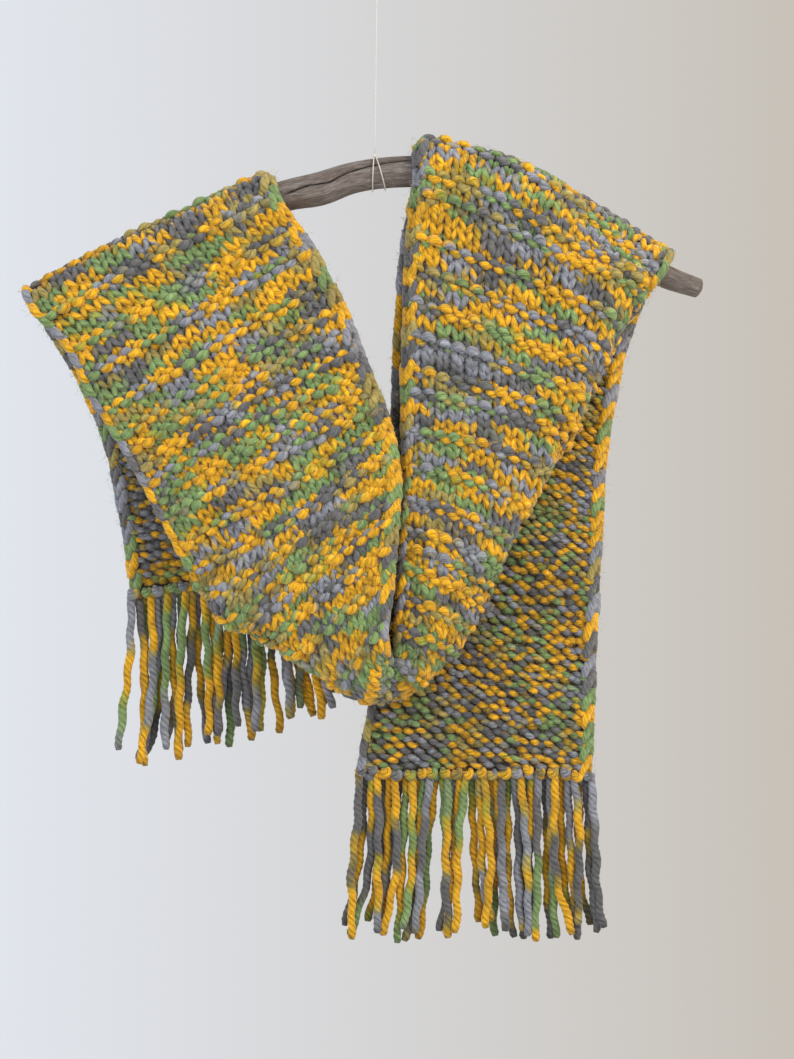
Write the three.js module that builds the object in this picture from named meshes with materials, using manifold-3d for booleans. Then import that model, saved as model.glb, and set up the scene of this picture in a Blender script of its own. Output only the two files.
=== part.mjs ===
// A long hand-knitted scarf with fringed ends, draped over an arched driftwood
// stick that hangs by a fine thread. Millimetres, Z up, the front faces -Y.
// The origin is the small loop at the top of the thread.
//
// Shapes are laid out on a front drawing: "across" runs to the right and "down"
// runs downwards in drawing units, and depth is in millimetres behind the stick's
// axis (negative towards the viewer).
import * as THREE from "three";
import { mergeVertices } from "three/addons/utils/BufferGeometryUtils.js";
import Module from "manifold-3d";

const UNIT = 0.876; // millimetres to one drawing unit, at the stick
const EYE = 2000; // how far in front of the stick the drawing is seen from
const DRAWING_MIDDLE = { across: 397, down: 529.5 };
const HANG = { across: 377, down: -28 };

const CLOTH = 10; // thickness of the knitted cloth
const SEAM = 0.6; // parting between neighbouring stretches of cloth
const CLEARANCE = 1; // between the stick and the cloth that lies on it

const FRINGE_LENGTH = 142;
const STRANDS = 40;
const STRAND_RADIUS = 3.1;
const BACKING_HEIGHT = 6;

const THREAD_RADIUS = 0.5;
const STICK_START = 12; // the hidden end of the stick lies this far inside its drawn axis

// The stick's axis from left to right.
const STICK = [
  { across: 24, down: 318, radius: 11 },
  { across: 120, down: 268, radius: 12 },
  { across: 210, down: 228, radius: 12.5 },
  { across: 290, down: 195, radius: 14 },
  { across: 320, down: 189, radius: 15 },
  { across: 350, down: 179, radius: 14 },
  { across: 410, down: 172, radius: 14 },
  { across: 488, down: 181, radius: 13.5 },
  { across: 535, down: 201, radius: 13 },
  { across: 580, down: 226, radius: 12.5 },
  { across: 630, down: 256, radius: 11.5 },
  { across: 665, down: 276, radius: 10.5 },
  { across: 703, down: 290, radius: 8.5 },
];

// The two tails hang behind. Each row crosses the cloth from its outer edge to its
// inner edge; each edge is [across, down, depth], and sag lowers the row's middle.
const LEFT_TAIL = [
  { name: "left hem", outer: [129, 594, 20], inner: [360, 518, 21], sag: 16 },
  { name: "left low", outer: [116, 510, 22], inner: [350, 436, 22], sag: 10 },
  { name: "left middle", outer: [101, 441, 21], inner: [332, 354, 22], sag: 4 },
  { name: "left high", outer: [70, 373, 20], inner: [306, 268, 20], sag: 0 },
];
const RIGHT_TAIL = [
  { name: "right high", outer: [644, 306, 20], inner: [401, 232, 20], sag: 0 },
  { name: "right middle", outer: [623, 372, 22], inner: [393, 330, 22], sag: 0 },
  { name: "right waist", outer: [609, 450, 22], inner: [390, 420, 23], sag: 0 },
  { name: "right low", outer: [603, 548, 22], inner: [383, 545, 24], sag: 0 },
  { name: "right last", outer: [597, 668, 22], inner: [374, 660, 23], sag: 0 },
  { name: "right hem", outer: [594, 777, 21], inner: [356, 769, 22], sag: 0 },
];

// The part in front. A row runs from the outer edge, round the fold where the cloth
// rolls under, over the belly of the front face, to the inner edge. Belly is the
// depth of that face and arch is how far its middle stands above a straight line.
const FRONT = [
  { name: "left 1", outer: [60, 345, -20], fold: null, belly: -21, arch: 4, inner: [313, 240, -20] },
  { name: "left 2", outer: [87, 396, -22], fold: null, belly: -26, arch: 4, inner: [347, 305, -24] },
  { name: "left 3", outer: [120, 449, -21], fold: null, belly: -31, arch: 3, inner: [373, 370, -30] },
  { name: "left 4", outer: [153, 509, -18], fold: null, belly: -35, arch: 0, inner: [392, 422, -38] },
  { name: "left 5", outer: [186, 566, -12], fold: [190, 568, -14], belly: -38, arch: -4, inner: [401, 470, -46] },
  { name: "left 6", outer: [203, 583, -4], fold: [223, 615, -20], belly: -42, arch: -5, inner: [400, 515, -52] },
  { name: "left 7", outer: [226, 572, 0], fold: [263, 639, -26], belly: -47, arch: -5, inner: [397, 550, -56] },
  { name: "left 8", outer: [250, 565, 2], fold: [306, 662, -30], belly: -52, arch: -5, inner: [394, 582, -58] },
  { name: "left 9", outer: [275, 562, 2], fold: [340, 688, -32], belly: -56, arch: -3, inner: [389, 612, -58] },
  { name: "left 10", outer: [300, 560, 2], fold: [368, 700, -30], belly: -56, arch: 0, inner: [385, 636, -54] },
  { name: "turn", outer: [318, 558, 3], fold: [387, 697, -22], belly: -36, arch: 0, inner: [388, 650, -44] },
  { name: "right 8", outer: [335, 556, 3], fold: [419, 686, -20], belly: -40, arch: 2, inner: [391, 655, -38] },
  { name: "right 7", outer: [352, 554, 3], fold: [450, 654, -20], belly: -44, arch: 4, inner: [392, 630, -35] },
  { name: "right 6", outer: [376, 552, 3], fold: [478, 611, -19], belly: -44, arch: 5, inner: [394, 585, -31] },
  { name: "right 5", outer: [405, 545, 3], fold: [503, 555, -17], belly: -41, arch: 5, inner: [396, 530, -28] },
  { name: "right 4", outer: [447, 515, 2], fold: [533, 496, -15], belly: -37, arch: 6, inner: [399, 470, -25] },
  { name: "right 3", outer: [510, 463, 0], fold: [571, 431, -14], belly: -32, arch: 8, inner: [399, 400, -23] },
  { name: "right 2", outer: [570, 392, -3], fold: [602, 361, -13], belly: -27, arch: 9, inner: [400, 320, -21] },
  { name: "right 1", outer: [628, 318, -6], fold: [638, 300, -13], belly: -22, arch: 9, inner: [403, 240, -19] },
];

// Where the cloth lies on the stick: the span of each shoulder in drawing units
// and how far its crest stands off at the inner edge.
const SHOULDERS = {
  left: { outer: 32, inner: 282, loft: 1 },
  right: { outer: 664, inner: 411, loft: 5 },
};
const SHOULDER_TURNS = [0, 45, 90, 135, 180]; // degrees round the stick, from the back

// The stretches of cloth, each a solid of its own, between two rows of the drape.
const STRETCHES = [
  { node: "left_tail", from: "left hem", to: "left back", step: 30, columns: 12, colour: 0x7d8548 },
  { node: "left_shoulder", from: "left back", to: "left front", step: 9, columns: 12, colour: 0xb49a45 },
  { node: "left_front", from: "left front", to: "left 4", step: 22, columns: 18, colour: 0xc09a3a },
  { node: "loop_bottom", from: "left 4", to: "right 4", step: 13, columns: 18, colour: 0xa99650 },
  { node: "right_front", from: "right 4", to: "right front", step: 22, columns: 18, colour: 0xbd9b40 },
  { node: "right_shoulder", from: "right front", to: "right back", step: 9, columns: 12, colour: 0x9c8f4c },
  { node: "right_tail", from: "right back", to: "right hem", step: 34, columns: 12, colour: 0x7a7d52 },
];

const wasm = await Module();
wasm.setup();

// Point of the drawing at a depth, moved so that it looks the same from the eye.
function place([across, down, depth]) {
  const scale = (UNIT * (EYE + depth)) / EYE;
  const middleX = (DRAWING_MIDDLE.across - HANG.across) * UNIT;
  const middleZ = (HANG.down - DRAWING_MIDDLE.down) * UNIT;
  return new THREE.Vector3(
    middleX + (across - DRAWING_MIDDLE.across) * scale,
    depth,
    middleZ - (down - DRAWING_MIDDLE.down) * scale,
  );
}

// Running length at each point of a polyline.
function lengthsAlong(points) {
  const lengths = [0];
  for (let i = 1; i < points.length; i += 1) {
    lengths.push(lengths[i - 1] + points[i].distanceTo(points[i - 1]));
  }
  return lengths;
}

// Slope at knot i of a smooth curve: the two neighbouring slopes, each weighted by
// the length of the other one's span.
function slopeAt(knots, points, i) {
  const last = knots.length - 1;
  const slope = (a) => points[a + 1].clone().sub(points[a]).divideScalar(knots[a + 1] - knots[a]);
  if (i === 0) return slope(0);
  if (i === last) return slope(last - 1);
  const before = knots[i] - knots[i - 1];
  const after = knots[i + 1] - knots[i];
  return slope(i - 1).multiplyScalar(after).add(slope(i).multiplyScalar(before))
    .divideScalar(before + after);
}

// Point of the smooth curve through the points; beyond its ends it runs straight on.
function smooth(knots, points, at) {
  const last = knots.length - 1;
  if (at <= knots[0]) return points[0].clone().addScaledVector(slopeAt(knots, points, 0), at - knots[0]);
  if (at >= knots[last]) {
    return points[last].clone().addScaledVector(slopeAt(knots, points, last), at - knots[last]);
  }
  let i = 0;
  while (at > knots[i + 1]) i += 1;
  const span = knots[i + 1] - knots[i];
  const t = (at - knots[i]) / span;
  return new THREE.Vector3()
    .addScaledVector(points[i], (1 + 2 * t) * (1 - t) ** 2)
    .addScaledVector(slopeAt(knots, points, i), t * (1 - t) ** 2 * span)
    .addScaledVector(points[i + 1], t * t * (3 - 2 * t))
    .addScaledVector(slopeAt(knots, points, i + 1), t * t * (t - 1) * span);
}

// Points of the smooth curve at given fractions of its length.
function alongCurve(points, fractions) {
  const knots = lengthsAlong(points);
  const fine = [];
  const fineSteps = 120;
  for (let i = 0; i <= fineSteps; i += 1) {
    fine.push(smooth(knots, points, (knots[knots.length - 1] * i) / fineSteps));
  }
  const fineLengths = lengthsAlong(fine);
  return fractions.map((fraction) => {
    const wanted = fraction * fineLengths[fineSteps];
    let i = 0;
    while (i < fineSteps - 1 && fineLengths[i + 1] < wanted) i += 1;
    const t = (wanted - fineLengths[i]) / (fineLengths[i + 1] - fineLengths[i]);
    return fine[i].clone().lerp(fine[i + 1], t);
  });
}

const stickPoints = STICK.map((row) => place([row.across, row.down, 0]));
const stickKnots = lengthsAlong(stickPoints);
const stickRadii = STICK.map((row) => new THREE.Vector3(row.radius, 0, 0));
const stickAt = (s) => smooth(stickKnots, stickPoints, s);
const stickRadius = (s) => smooth(stickKnots, stickRadii, s).x;

// Distance along the stick of the point drawn straight below "across".
function stickDistance(across) {
  const wanted = place([across, 0, 0]).x;
  let low = stickKnots[0];
  let high = stickKnots[stickKnots.length - 1];
  for (let i = 0; i < 40; i += 1) {
    const middle = (low + high) / 2;
    if (stickAt(middle).x < wanted) low = middle;
    else high = middle;
  }
  return low;
}

// The stick's frame at a distance along it: centre, the direction along and up.
function stickFrame(s) {
  const along = stickAt(s + 1).sub(stickAt(s - 1)).normalize();
  const up = new THREE.Vector3(-along.z, 0, along.x);
  return { centre: stickAt(s), along, up };
}

// A row of cloth lying along the stick, turned round it by an angle from the back.
function shoulderRow({ outer, inner, loft }, degrees, fractions) {
  const start = stickDistance(outer);
  const end = stickDistance(inner);
  const turn = THREE.MathUtils.degToRad(degrees);
  return fractions.map((fraction) => {
    const s = start + (end - start) * fraction;
    const { centre, up } = stickFrame(s);
    const reach = stickRadius(s) + CLEARANCE + CLOTH / 2;
    const lift = loft * fraction * fraction * Math.sin(turn);
    return centre
      .addScaledVector(up, reach * Math.sin(turn) + lift)
      .add(new THREE.Vector3(0, reach * Math.cos(turn), 0));
  });
}

// A tail's row: outer edge, a point a third of the way that sags, inner edge.
function tailRow({ outer, inner, sag }, fractions) {
  const start = place(outer);
  const end = place(inner);
  const third = start.clone().lerp(end, 0.35);
  third.z -= sag * UNIT;
  return alongCurve([start, third, end], fractions);
}

// A front row: flat where it has no fold, otherwise rolled under from the fold on.
function frontRow({ outer, fold, belly, arch, inner }, fractions) {
  const start = place(outer);
  const end = place(inner);
  const turned = fold ? place(fold) : start;
  const rolls = turned.distanceTo(start) > 8;
  const middle = end.clone().lerp(turned, rolls ? 0.55 : 0.5);
  middle.y = belly;
  middle.z += arch * UNIT;
  if (!rolls) return alongCurve([start, middle, end], fractions);
  const under = turned.clone().lerp(start, 0.42);
  under.y = outer[2];
  return alongCurve([start, under, turned, middle, end], fractions);
}

// All the rows of the drape in order, from the left hem to the right hem.
function drape(fractions) {
  const shoulder = (side, turns, names) => turns.map((degrees, i) => ({
    name: names[i] ?? `${side} ${degrees}`,
    points: shoulderRow(SHOULDERS[side], degrees, fractions),
  }));
  const back = [...SHOULDER_TURNS].reverse();
  return [
    ...LEFT_TAIL.map((row) => ({ name: row.name, points: tailRow(row, fractions) })),
    ...shoulder("left", SHOULDER_TURNS, { 0: "left back", 4: "left front" }),
    ...FRONT.map((row) => ({ name: row.name, points: frontRow(row, fractions) })),
    ...shoulder("right", back, { 0: "right front", 4: "right back" }),
    ...RIGHT_TAIL.map((row) => ({ name: row.name, points: tailRow(row, fractions) })),
  ];
}

// Fractions across the cloth: close together at both edges, even between them.
function acrossCloth(columns) {
  const edge = [0, 0.015, 0.045];
  const fractions = [...edge];
  const inset = edge[edge.length - 1];
  for (let i = 1; i < columns; i += 1) fractions.push(inset + ((1 - 2 * inset) * i) / columns);
  return [...fractions, ...edge.map((value) => 1 - value).reverse()];
}

// The cloth's middle surface: a function of the distance along the strip that
// gives the point and the normal of side A at each fraction across.
function clothSurface(fractions) {
  const rows = drape(fractions);
  const middleLine = drape([0.5]).map((row) => row.points[0]);
  const knots = lengthsAlong(middleLine);
  const columns = fractions.map((_, j) => rows.map((row) => row.points[j]));
  const distanceOf = (name) => knots[rows.findIndex((row) => row.name === name)];
  const pointsAt = (s) => columns.map((column) => smooth(knots, column, s));
  const last = fractions.length - 1;
  const sectionAt = (s) => {
    const points = pointsAt(s);
    const ahead = pointsAt(s + 0.5);
    const behind = pointsAt(s - 0.5);
    return points.map((point, j) => {
      const along = ahead[j].sub(behind[j]);
      const across = points[Math.min(j + 1, last)].clone().sub(points[Math.max(j - 1, 0)]);
      return { point, normal: along.cross(across).normalize() };
    });
  };
  return { sectionAt, distanceOf };
}

// Closed body through rings of equal size. The last ring is joined to the first one
// in a hoop; otherwise each end is closed like a ladder, from the ring's first and
// last points inwards.
function skin(rings, hoop = false) {
  const size = rings[0].length;
  const vertices = rings.flat();
  const triangles = [];
  const quad = (a, b, c, d) => triangles.push([a, b, c], [a, c, d]);
  for (let i = 0; i < rings.length - (hoop ? 0 : 1); i += 1) {
    const next = (i + 1) % rings.length;
    for (let j = 0; j < size; j += 1) {
      const k = (j + 1) % size;
      quad(i * size + j, i * size + k, next * size + k, next * size + j);
    }
  }
  if (hoop) return facingOut(vertices, triangles);
  const top = (rings.length - 1) * size;
  for (let j = 0; j < size / 2 - 1; j += 1) {
    quad(j, size - 1 - j, size - 2 - j, j + 1);
    quad(top + j, top + j + 1, top + size - 2 - j, top + size - 1 - j);
  }
  return facingOut(vertices, triangles);
}

// Geometry of the triangles, turned over where they enclose a negative volume.
function facingOut(vertices, triangles) {
  let volume = 0;
  const crossed = new THREE.Vector3();
  triangles.forEach(([a, b, c]) => {
    volume += crossed.crossVectors(vertices[b], vertices[c]).dot(vertices[a]);
  });
  const index = triangles.flatMap(([a, b, c]) => (volume > 0 ? [a, b, c] : [a, c, b]));
  const geometry = new THREE.BufferGeometry();
  geometry.setAttribute("position", new THREE.Float32BufferAttribute(vertices.flatMap((v) => v.toArray()), 3));
  geometry.setIndex(index);
  return geometry;
}

// Ring of the cloth wall at one section, thinner at its two edges.
function wallRing(section, halfThickness) {
  const edgeShare = [0.45, 0.82];
  const last = section.length - 1;
  const shareOf = (j) => edgeShare[Math.min(j, last - j)] ?? 1;
  const side = (sign) => section.map(({ point, normal }, j) => (
    point.clone().addScaledVector(normal, sign * halfThickness * shareOf(j))
  ));
  return [...side(1), ...side(-1).reverse()];
}

function wall(surface, from, to, step, halfThickness) {
  const count = Math.max(1, Math.round((to - from) / step));
  const rings = [];
  for (let i = 0; i <= count; i += 1) {
    rings.push(wallRing(surface.sectionAt(from + ((to - from) * i) / count), halfThickness));
  }
  return skin(rings);
}

// Repeatable number between -1 and 1 for a piece and a purpose.
function scatter(piece, purpose) {
  const raw = Math.sin(piece * 12.9898 + purpose * 78.233) * 43758.5453;
  return 2 * (raw - Math.floor(raw)) - 1;
}

// One strand: hangs from its root in the backing, alternately in front and behind.
function strand(root, i, { flare, middle, lengthChange }) {
  const layer = i % 2 ? 1 : -1;
  const depths = [1.6, 4.2, 4.6, 4.6, 4.4];
  const drops = [0, 0.09, 0.35, 0.68, 1];
  const length = FRINGE_LENGTH * (1 + 0.06 * scatter(i, 1)) + lengthChange;
  const rings = drops.map((drop, k) => {
    const sway = 1.3 * scatter(i, 2) * Math.sin(Math.PI * drop) + flare * (root.x - middle) * drop * drop;
    const centre = new THREE.Vector3(root.x + sway, root.y + layer * depths[k], root.z - length * drop);
    const radius = STRAND_RADIUS * [0.6, 0.95, 1, 1, 0.8][k];
    return [0, 1, 2, 3].map((corner) => {
      const angle = (corner * Math.PI) / 2;
      return centre.clone().add(new THREE.Vector3(Math.cos(angle), Math.sin(angle), 0).multiplyScalar(radius));
    });
  });
  return skin(rings);
}

// A fringe: a narrow backing that follows the hem, and the strands joined to it.
function fringe(surface, hem, outward, shape) {
  const start = hem + outward * SEAM;
  const end = hem + outward * (SEAM + BACKING_HEIGHT);
  const backing = wall(surface, Math.min(start, end), Math.max(start, end), BACKING_HEIGHT, CLOTH / 2 + 0.8);
  const roots = clothSurface(Array.from({ length: STRANDS }, (_, i) => (i + 0.5) / STRANDS));
  const section = roots.sectionAt((start + end) / 2).map(({ point }) => point);
  const middle = (section[0].x + section[STRANDS - 1].x) / 2;
  let body = toSolid(backing);
  section.forEach((root, i) => {
    body = body.add(toSolid(strand(root, i, { ...shape, middle })));
  });
  return toGeometry(body);
}

function toSolid(geometry) {
  const source = geometry.clone();
  source.deleteAttribute("normal");
  source.deleteAttribute("uv");
  const merged = mergeVertices(source, 1e-4);
  return new wasm.Manifold(new wasm.Mesh({
    numProp: 3,
    vertProperties: new Float32Array(merged.attributes.position.array),
    triVerts: new Uint32Array(merged.index.array),
  }));
}

function toGeometry(solid) {
  const mesh = solid.getMesh();
  const geometry = new THREE.BufferGeometry();
  geometry.setAttribute("position", new THREE.Float32BufferAttribute(mesh.vertProperties, 3));
  geometry.setIndex(Array.from(mesh.triVerts));
  return geometry;
}

// The driftwood stick: shallow lobes and hollows that only cut into its round
// section, one end worn square and the other end bevelled.
function stick() {
  const sides = 14;
  const rings = [];
  const end = stickKnots[stickKnots.length - 1];
  const steps = 34;
  for (let i = 0; i <= steps; i += 1) {
    const s = STICK_START + ((end - STICK_START) * i) / steps;
    const { centre, along, up } = stickFrame(s);
    const ring = [];
    for (let k = 0; k < sides; k += 1) {
      const angle = (2 * Math.PI * k) / sides;
      const hollow = 0.5 + 0.5 * Math.sin(s / 17 + 2 * Math.sin(angle + s / 60));
      const lobe = 0.5 + 0.5 * Math.cos(3 * angle + s / 45);
      const radius = stickRadius(s) * (1 - 0.05 * hollow - 0.04 * lobe);
      const bevel = i === steps ? -6 * Math.sin(angle) : 0;
      ring.push(centre.clone()
        .addScaledVector(up, radius * Math.sin(angle))
        .addScaledVector(along, bevel)
        .add(new THREE.Vector3(0, radius * Math.cos(angle), 0)));
    }
    rings.push(ring);
  }
  return skin(rings);
}

// Round thread along a curve.
function thread(curve, steps) {
  const shape = new THREE.Shape();
  const sides = 8;
  for (let k = 0; k < sides; k += 1) {
    const angle = (2 * Math.PI * k) / sides;
    const corner = [THREAD_RADIUS * Math.cos(angle), THREAD_RADIUS * Math.sin(angle)];
    if (k === 0) shape.moveTo(...corner);
    else shape.lineTo(...corner);
  }
  return new THREE.ExtrudeGeometry(shape, { steps, bevelEnabled: false, extrudePath: curve });
}

const KNOT_ACROSS = 377;
const KNOT_RADIUS = 1.7;
const TIE_CLEARANCE = 0.5;

// Round thread in a closed turn; frameAt gives its centre, radius direction and side
// direction at an angle.
function threadHoop(corners, frameAt) {
  const sides = 8;
  const rings = [];
  for (let i = 0; i < corners; i += 1) {
    const { centre, radial, side } = frameAt((2 * Math.PI * i) / corners);
    const ring = [];
    for (let k = 0; k < sides; k += 1) {
      const angle = (2 * Math.PI * k) / sides;
      ring.push(centre.clone()
        .addScaledVector(radial, THREAD_RADIUS * Math.cos(angle))
        .addScaledVector(side, THREAD_RADIUS * Math.sin(angle)));
    }
    rings.push(ring);
  }
  return skin(rings, true);
}

// The knot rests on top of the stick.
function knotCentre() {
  const s = stickDistance(KNOT_ACROSS);
  const { centre, up } = stickFrame(s);
  return centre.addScaledVector(up, stickRadius(s) + TIE_CLEARANCE + KNOT_RADIUS);
}

// The thread's tie: two turns round the stick that spread from the knot on top.
function tie() {
  const knot = knotCentre();
  const middle = stickDistance(KNOT_ACROSS);
  const reach = stickRadius(middle) + THREAD_RADIUS + TIE_CLEARANCE;
  const turn = (spread) => threadHoop(26, (angle) => {
    const { centre, along, up } = stickFrame(middle + spread * (0.56 - 0.44 * Math.sin(angle)));
    const radial = up.multiplyScalar(Math.sin(angle)).add(new THREE.Vector3(0, Math.cos(angle), 0));
    return { centre: centre.addScaledVector(radial, reach), radial, side: along };
  });
  const bead = new THREE.SphereGeometry(KNOT_RADIUS, 10, 6).translate(knot.x, knot.y, knot.z);
  return toGeometry(toSolid(turn(-6)).add(toSolid(turn(6))).add(toSolid(bead)));
}

// The straight thread from the knot up to the loop that it is hung by.
function hangingThread() {
  const knot = knotCentre();
  const loopRadius = 4;
  const line = new THREE.LineCurve3(
    new THREE.Vector3(knot.x, 0, knot.z + KNOT_RADIUS + 0.3),
    new THREE.Vector3(0, 0, -loopRadius),
  );
  const loop = threadHoop(14, (angle) => {
    const radial = new THREE.Vector3(Math.cos(angle), 0, Math.sin(angle));
    return { centre: radial.clone().multiplyScalar(loopRadius), radial, side: new THREE.Vector3(0, 1, 0) };
  });
  return toGeometry(toSolid(thread(line, 16)).add(toSolid(loop)));
}

const scarf = new THREE.Group();

function addPiece(name, geometry, colour, roughness) {
  const material = new THREE.MeshStandardMaterial({ color: colour, roughness, metalness: 0 });
  const mesh = new THREE.Mesh(geometry, material);
  mesh.name = name;
  scarf.add(mesh);
}

STRETCHES.forEach(({ node, from, to, step, columns, colour }) => {
  const surface = clothSurface(acrossCloth(columns));
  const start = surface.distanceOf(from) + (from === "left hem" ? 0 : SEAM / 2);
  const end = surface.distanceOf(to) - (to === "right hem" ? 0 : SEAM / 2);
  addPiece(node, wall(surface, start, end, step, CLOTH / 2), colour, 0.95);
});

const hemSurface = clothSurface(acrossCloth(12));
addPiece("left_fringe", fringe(hemSurface, hemSurface.distanceOf("left hem"), -1,
  { flare: 0.03, lengthChange: 1 }), 0x8c8a4a, 0.95);
addPiece("right_fringe", fringe(hemSurface, hemSurface.distanceOf("right hem"), 1,
  { flare: 0.12, lengthChange: -2 }), 0xa08f3c, 0.95);
addPiece("stick", stick(), 0x8a817c, 0.85);
addPiece("thread_tie", tie(), 0xe8e4dc, 0.6);
addPiece("hanging_thread", hangingThread(), 0xe8e4dc, 0.6);

export default scarf;
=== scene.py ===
import math

import bpy
import numpy as np
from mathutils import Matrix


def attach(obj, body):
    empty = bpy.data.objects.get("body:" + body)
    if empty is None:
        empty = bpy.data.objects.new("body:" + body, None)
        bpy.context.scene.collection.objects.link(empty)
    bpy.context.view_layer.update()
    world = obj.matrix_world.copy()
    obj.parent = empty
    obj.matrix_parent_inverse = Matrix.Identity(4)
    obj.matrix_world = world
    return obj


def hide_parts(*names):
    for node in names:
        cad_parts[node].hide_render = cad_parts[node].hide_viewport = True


# A long chunky hand-knitted scarf with fringed ends, draped over an arched driftwood
# stick that hangs by a fine thread. Metres, Z up, the front faces -Y.
# Shapes are laid out on a front drawing: across runs to the right and down runs
# downwards in drawing units; depth is in millimetres behind the stick's axis.

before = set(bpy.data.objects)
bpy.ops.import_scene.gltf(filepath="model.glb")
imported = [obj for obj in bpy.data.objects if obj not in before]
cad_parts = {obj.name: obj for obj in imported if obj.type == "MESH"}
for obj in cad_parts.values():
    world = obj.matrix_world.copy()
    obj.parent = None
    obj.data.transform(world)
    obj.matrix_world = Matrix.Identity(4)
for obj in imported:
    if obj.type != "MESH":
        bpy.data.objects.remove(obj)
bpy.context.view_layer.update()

mm = 0.001
drawing = {"unit": 0.876 * mm, "eye": 2.0, "middle": (397.0, 529.5), "hang": (377.0, -28.0)}
middleX = (drawing["middle"][0] - drawing["hang"][0]) * drawing["unit"]
middleZ = (drawing["hang"][1] - drawing["middle"][1]) * drawing["unit"]

cloth = {"thickness": 10 * mm, "clearance": 1 * mm, "width": 0.24}

# The stick's axis: across, down, radius in millimetres.
stickRows = [
    (24, 318, 11), (120, 268, 12), (210, 228, 12.5), (290, 195, 14),
    (320, 189, 15), (350, 179, 14), (410, 172, 14), (488, 181, 13.5), (535, 201, 13),
    (580, 226, 12.5), (630, 256, 11.5), (665, 276, 10.5), (703, 290, 8.5),
]
# The tails: outer edge, inner edge (across, down, depth) and how far the row sags.
leftTail = [
    ((129, 594, 20), (360, 518, 21), 16),
    ((116, 510, 22), (350, 436, 22), 10),
    ((101, 441, 21), (332, 354, 22), 4),
    ((70, 373, 20), (306, 268, 20), 0),
]
rightTail = [
    ((644, 306, 20), (401, 232, 20), 0),
    ((623, 372, 22), (393, 330, 22), 0),
    ((609, 450, 22), (390, 420, 23), 0),
    ((603, 548, 22), (383, 545, 24), 0),
    ((597, 668, 22), (374, 660, 23), 0),
    ((594, 777, 21), (356, 769, 22), 0),
]
# The part in front: outer edge, fold where the cloth rolls under, depth of the
# belly, how far the middle arches above a straight line, inner edge.
frontRows = [
    ((60, 345, -20), None, -21, 4, (313, 240, -20)),
    ((87, 396, -22), None, -26, 4, (347, 305, -24)),
    ((120, 449, -21), None, -31, 3, (373, 370, -30)),
    ((153, 509, -18), None, -35, 0, (392, 422, -38)),
    ((186, 566, -12), (190, 568, -14), -38, -4, (401, 470, -46)),
    ((203, 583, -4), (223, 615, -20), -42, -5, (400, 515, -52)),
    ((226, 572, 0), (263, 639, -26), -47, -5, (397, 550, -56)),
    ((250, 565, 2), (306, 662, -30), -52, -5, (394, 582, -58)),
    ((275, 562, 2), (340, 688, -32), -56, -3, (389, 612, -58)),
    ((300, 560, 2), (368, 700, -30), -56, 0, (385, 636, -54)),
    ((318, 558, 3), (387, 697, -22), -36, 0, (388, 650, -44)),
    ((335, 556, 3), (419, 686, -20), -40, 2, (391, 655, -38)),
    ((352, 554, 3), (450, 654, -20), -44, 4, (392, 630, -35)),
    ((376, 552, 3), (478, 611, -19), -44, 5, (394, 585, -31)),
    ((405, 545, 3), (503, 555, -17), -41, 5, (396, 530, -28)),
    ((447, 515, 2), (533, 496, -15), -37, 6, (399, 470, -25)),
    ((510, 463, 0), (571, 431, -14), -32, 8, (399, 400, -23)),
    ((570, 392, -3), (602, 361, -13), -27, 9, (400, 320, -21)),
    ((628, 318, -6), (638, 300, -13), -22, 9, (403, 240, -19)),
]
shoulders = {"left": {"outer": 32, "inner": 282, "loft": 1}, "right": {"outer": 664, "inner": 411, "loft": 5}}
shoulderTurns = [0, 45, 90, 135, 180]


def place(points):
    # Points of the drawing at their depths, moved so that they look the same from the eye.
    points = np.asarray(points, float)
    depth = points[..., 2] * mm
    scale = drawing["unit"] * (drawing["eye"] + depth) / drawing["eye"]
    x = middleX + (points[..., 0] - drawing["middle"][0]) * scale
    z = middleZ - (points[..., 1] - drawing["middle"][1]) * scale
    return np.stack([x, depth, z], -1)


def lengthsAlong(points):
    # Running length at each point of a polyline.
    steps = np.linalg.norm(np.diff(points, axis=0), axis=1)
    return np.concatenate([[0], np.cumsum(steps)])


def smooth(knots, values, at):
    # Smooth curve through values at knots: each knot's slope is the mean of its two
    # spans' slopes, weighted by the other span; straight on beyond the ends.
    shape = (-1,) + (1,) * (values.ndim - 1)
    span = np.diff(knots).reshape(shape)
    slope = np.diff(values, axis=0) / span
    between = (slope[:-1] * span[1:] + slope[1:] * span[:-1]) / (span[1:] + span[:-1])
    slopes = np.concatenate([slope[:1], between, slope[-1:]])
    i = np.clip(np.searchsorted(knots, at, side="right") - 1, 0, len(knots) - 2)
    held = np.clip(at, knots[0], knots[-1])
    width = (knots[i + 1] - knots[i]).reshape(shape)
    t = ((held - knots[i]) / (knots[i + 1] - knots[i])).reshape(shape)
    inside = (
        (1 + 2 * t) * (1 - t) ** 2 * values[i] + t * (1 - t) ** 2 * width * slopes[i]
        + t * t * (3 - 2 * t) * values[i + 1] + t * t * (t - 1) * width * slopes[i + 1]
    )
    beyond = (at - held).reshape(shape)
    return inside + beyond * np.where(beyond < 0, slopes[0], slopes[-1])


def alongCurve(points, fractions):
    # Points of the smooth curve at given fractions of its length.
    knots = lengthsAlong(points)
    fine = smooth(knots, points, np.linspace(0, knots[-1], 241))
    lengths = lengthsAlong(fine)
    return np.stack([np.interp(fractions * lengths[-1], lengths, fine[:, axis]) for axis in range(3)], -1)


stickPoints = place([(across, down, 0) for across, down, radius in stickRows])
stickKnots = lengthsAlong(stickPoints)
stickFine = np.linspace(stickKnots[0], stickKnots[-1], 1200)
stickLine = smooth(stickKnots, stickPoints, stickFine)
stickRadii = smooth(stickKnots, np.array([radius * mm for across, down, radius in stickRows]), stickFine)
stickTangents = np.gradient(stickLine, axis=0)
stickTangents /= np.linalg.norm(stickTangents, axis=1, keepdims=True)


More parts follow.
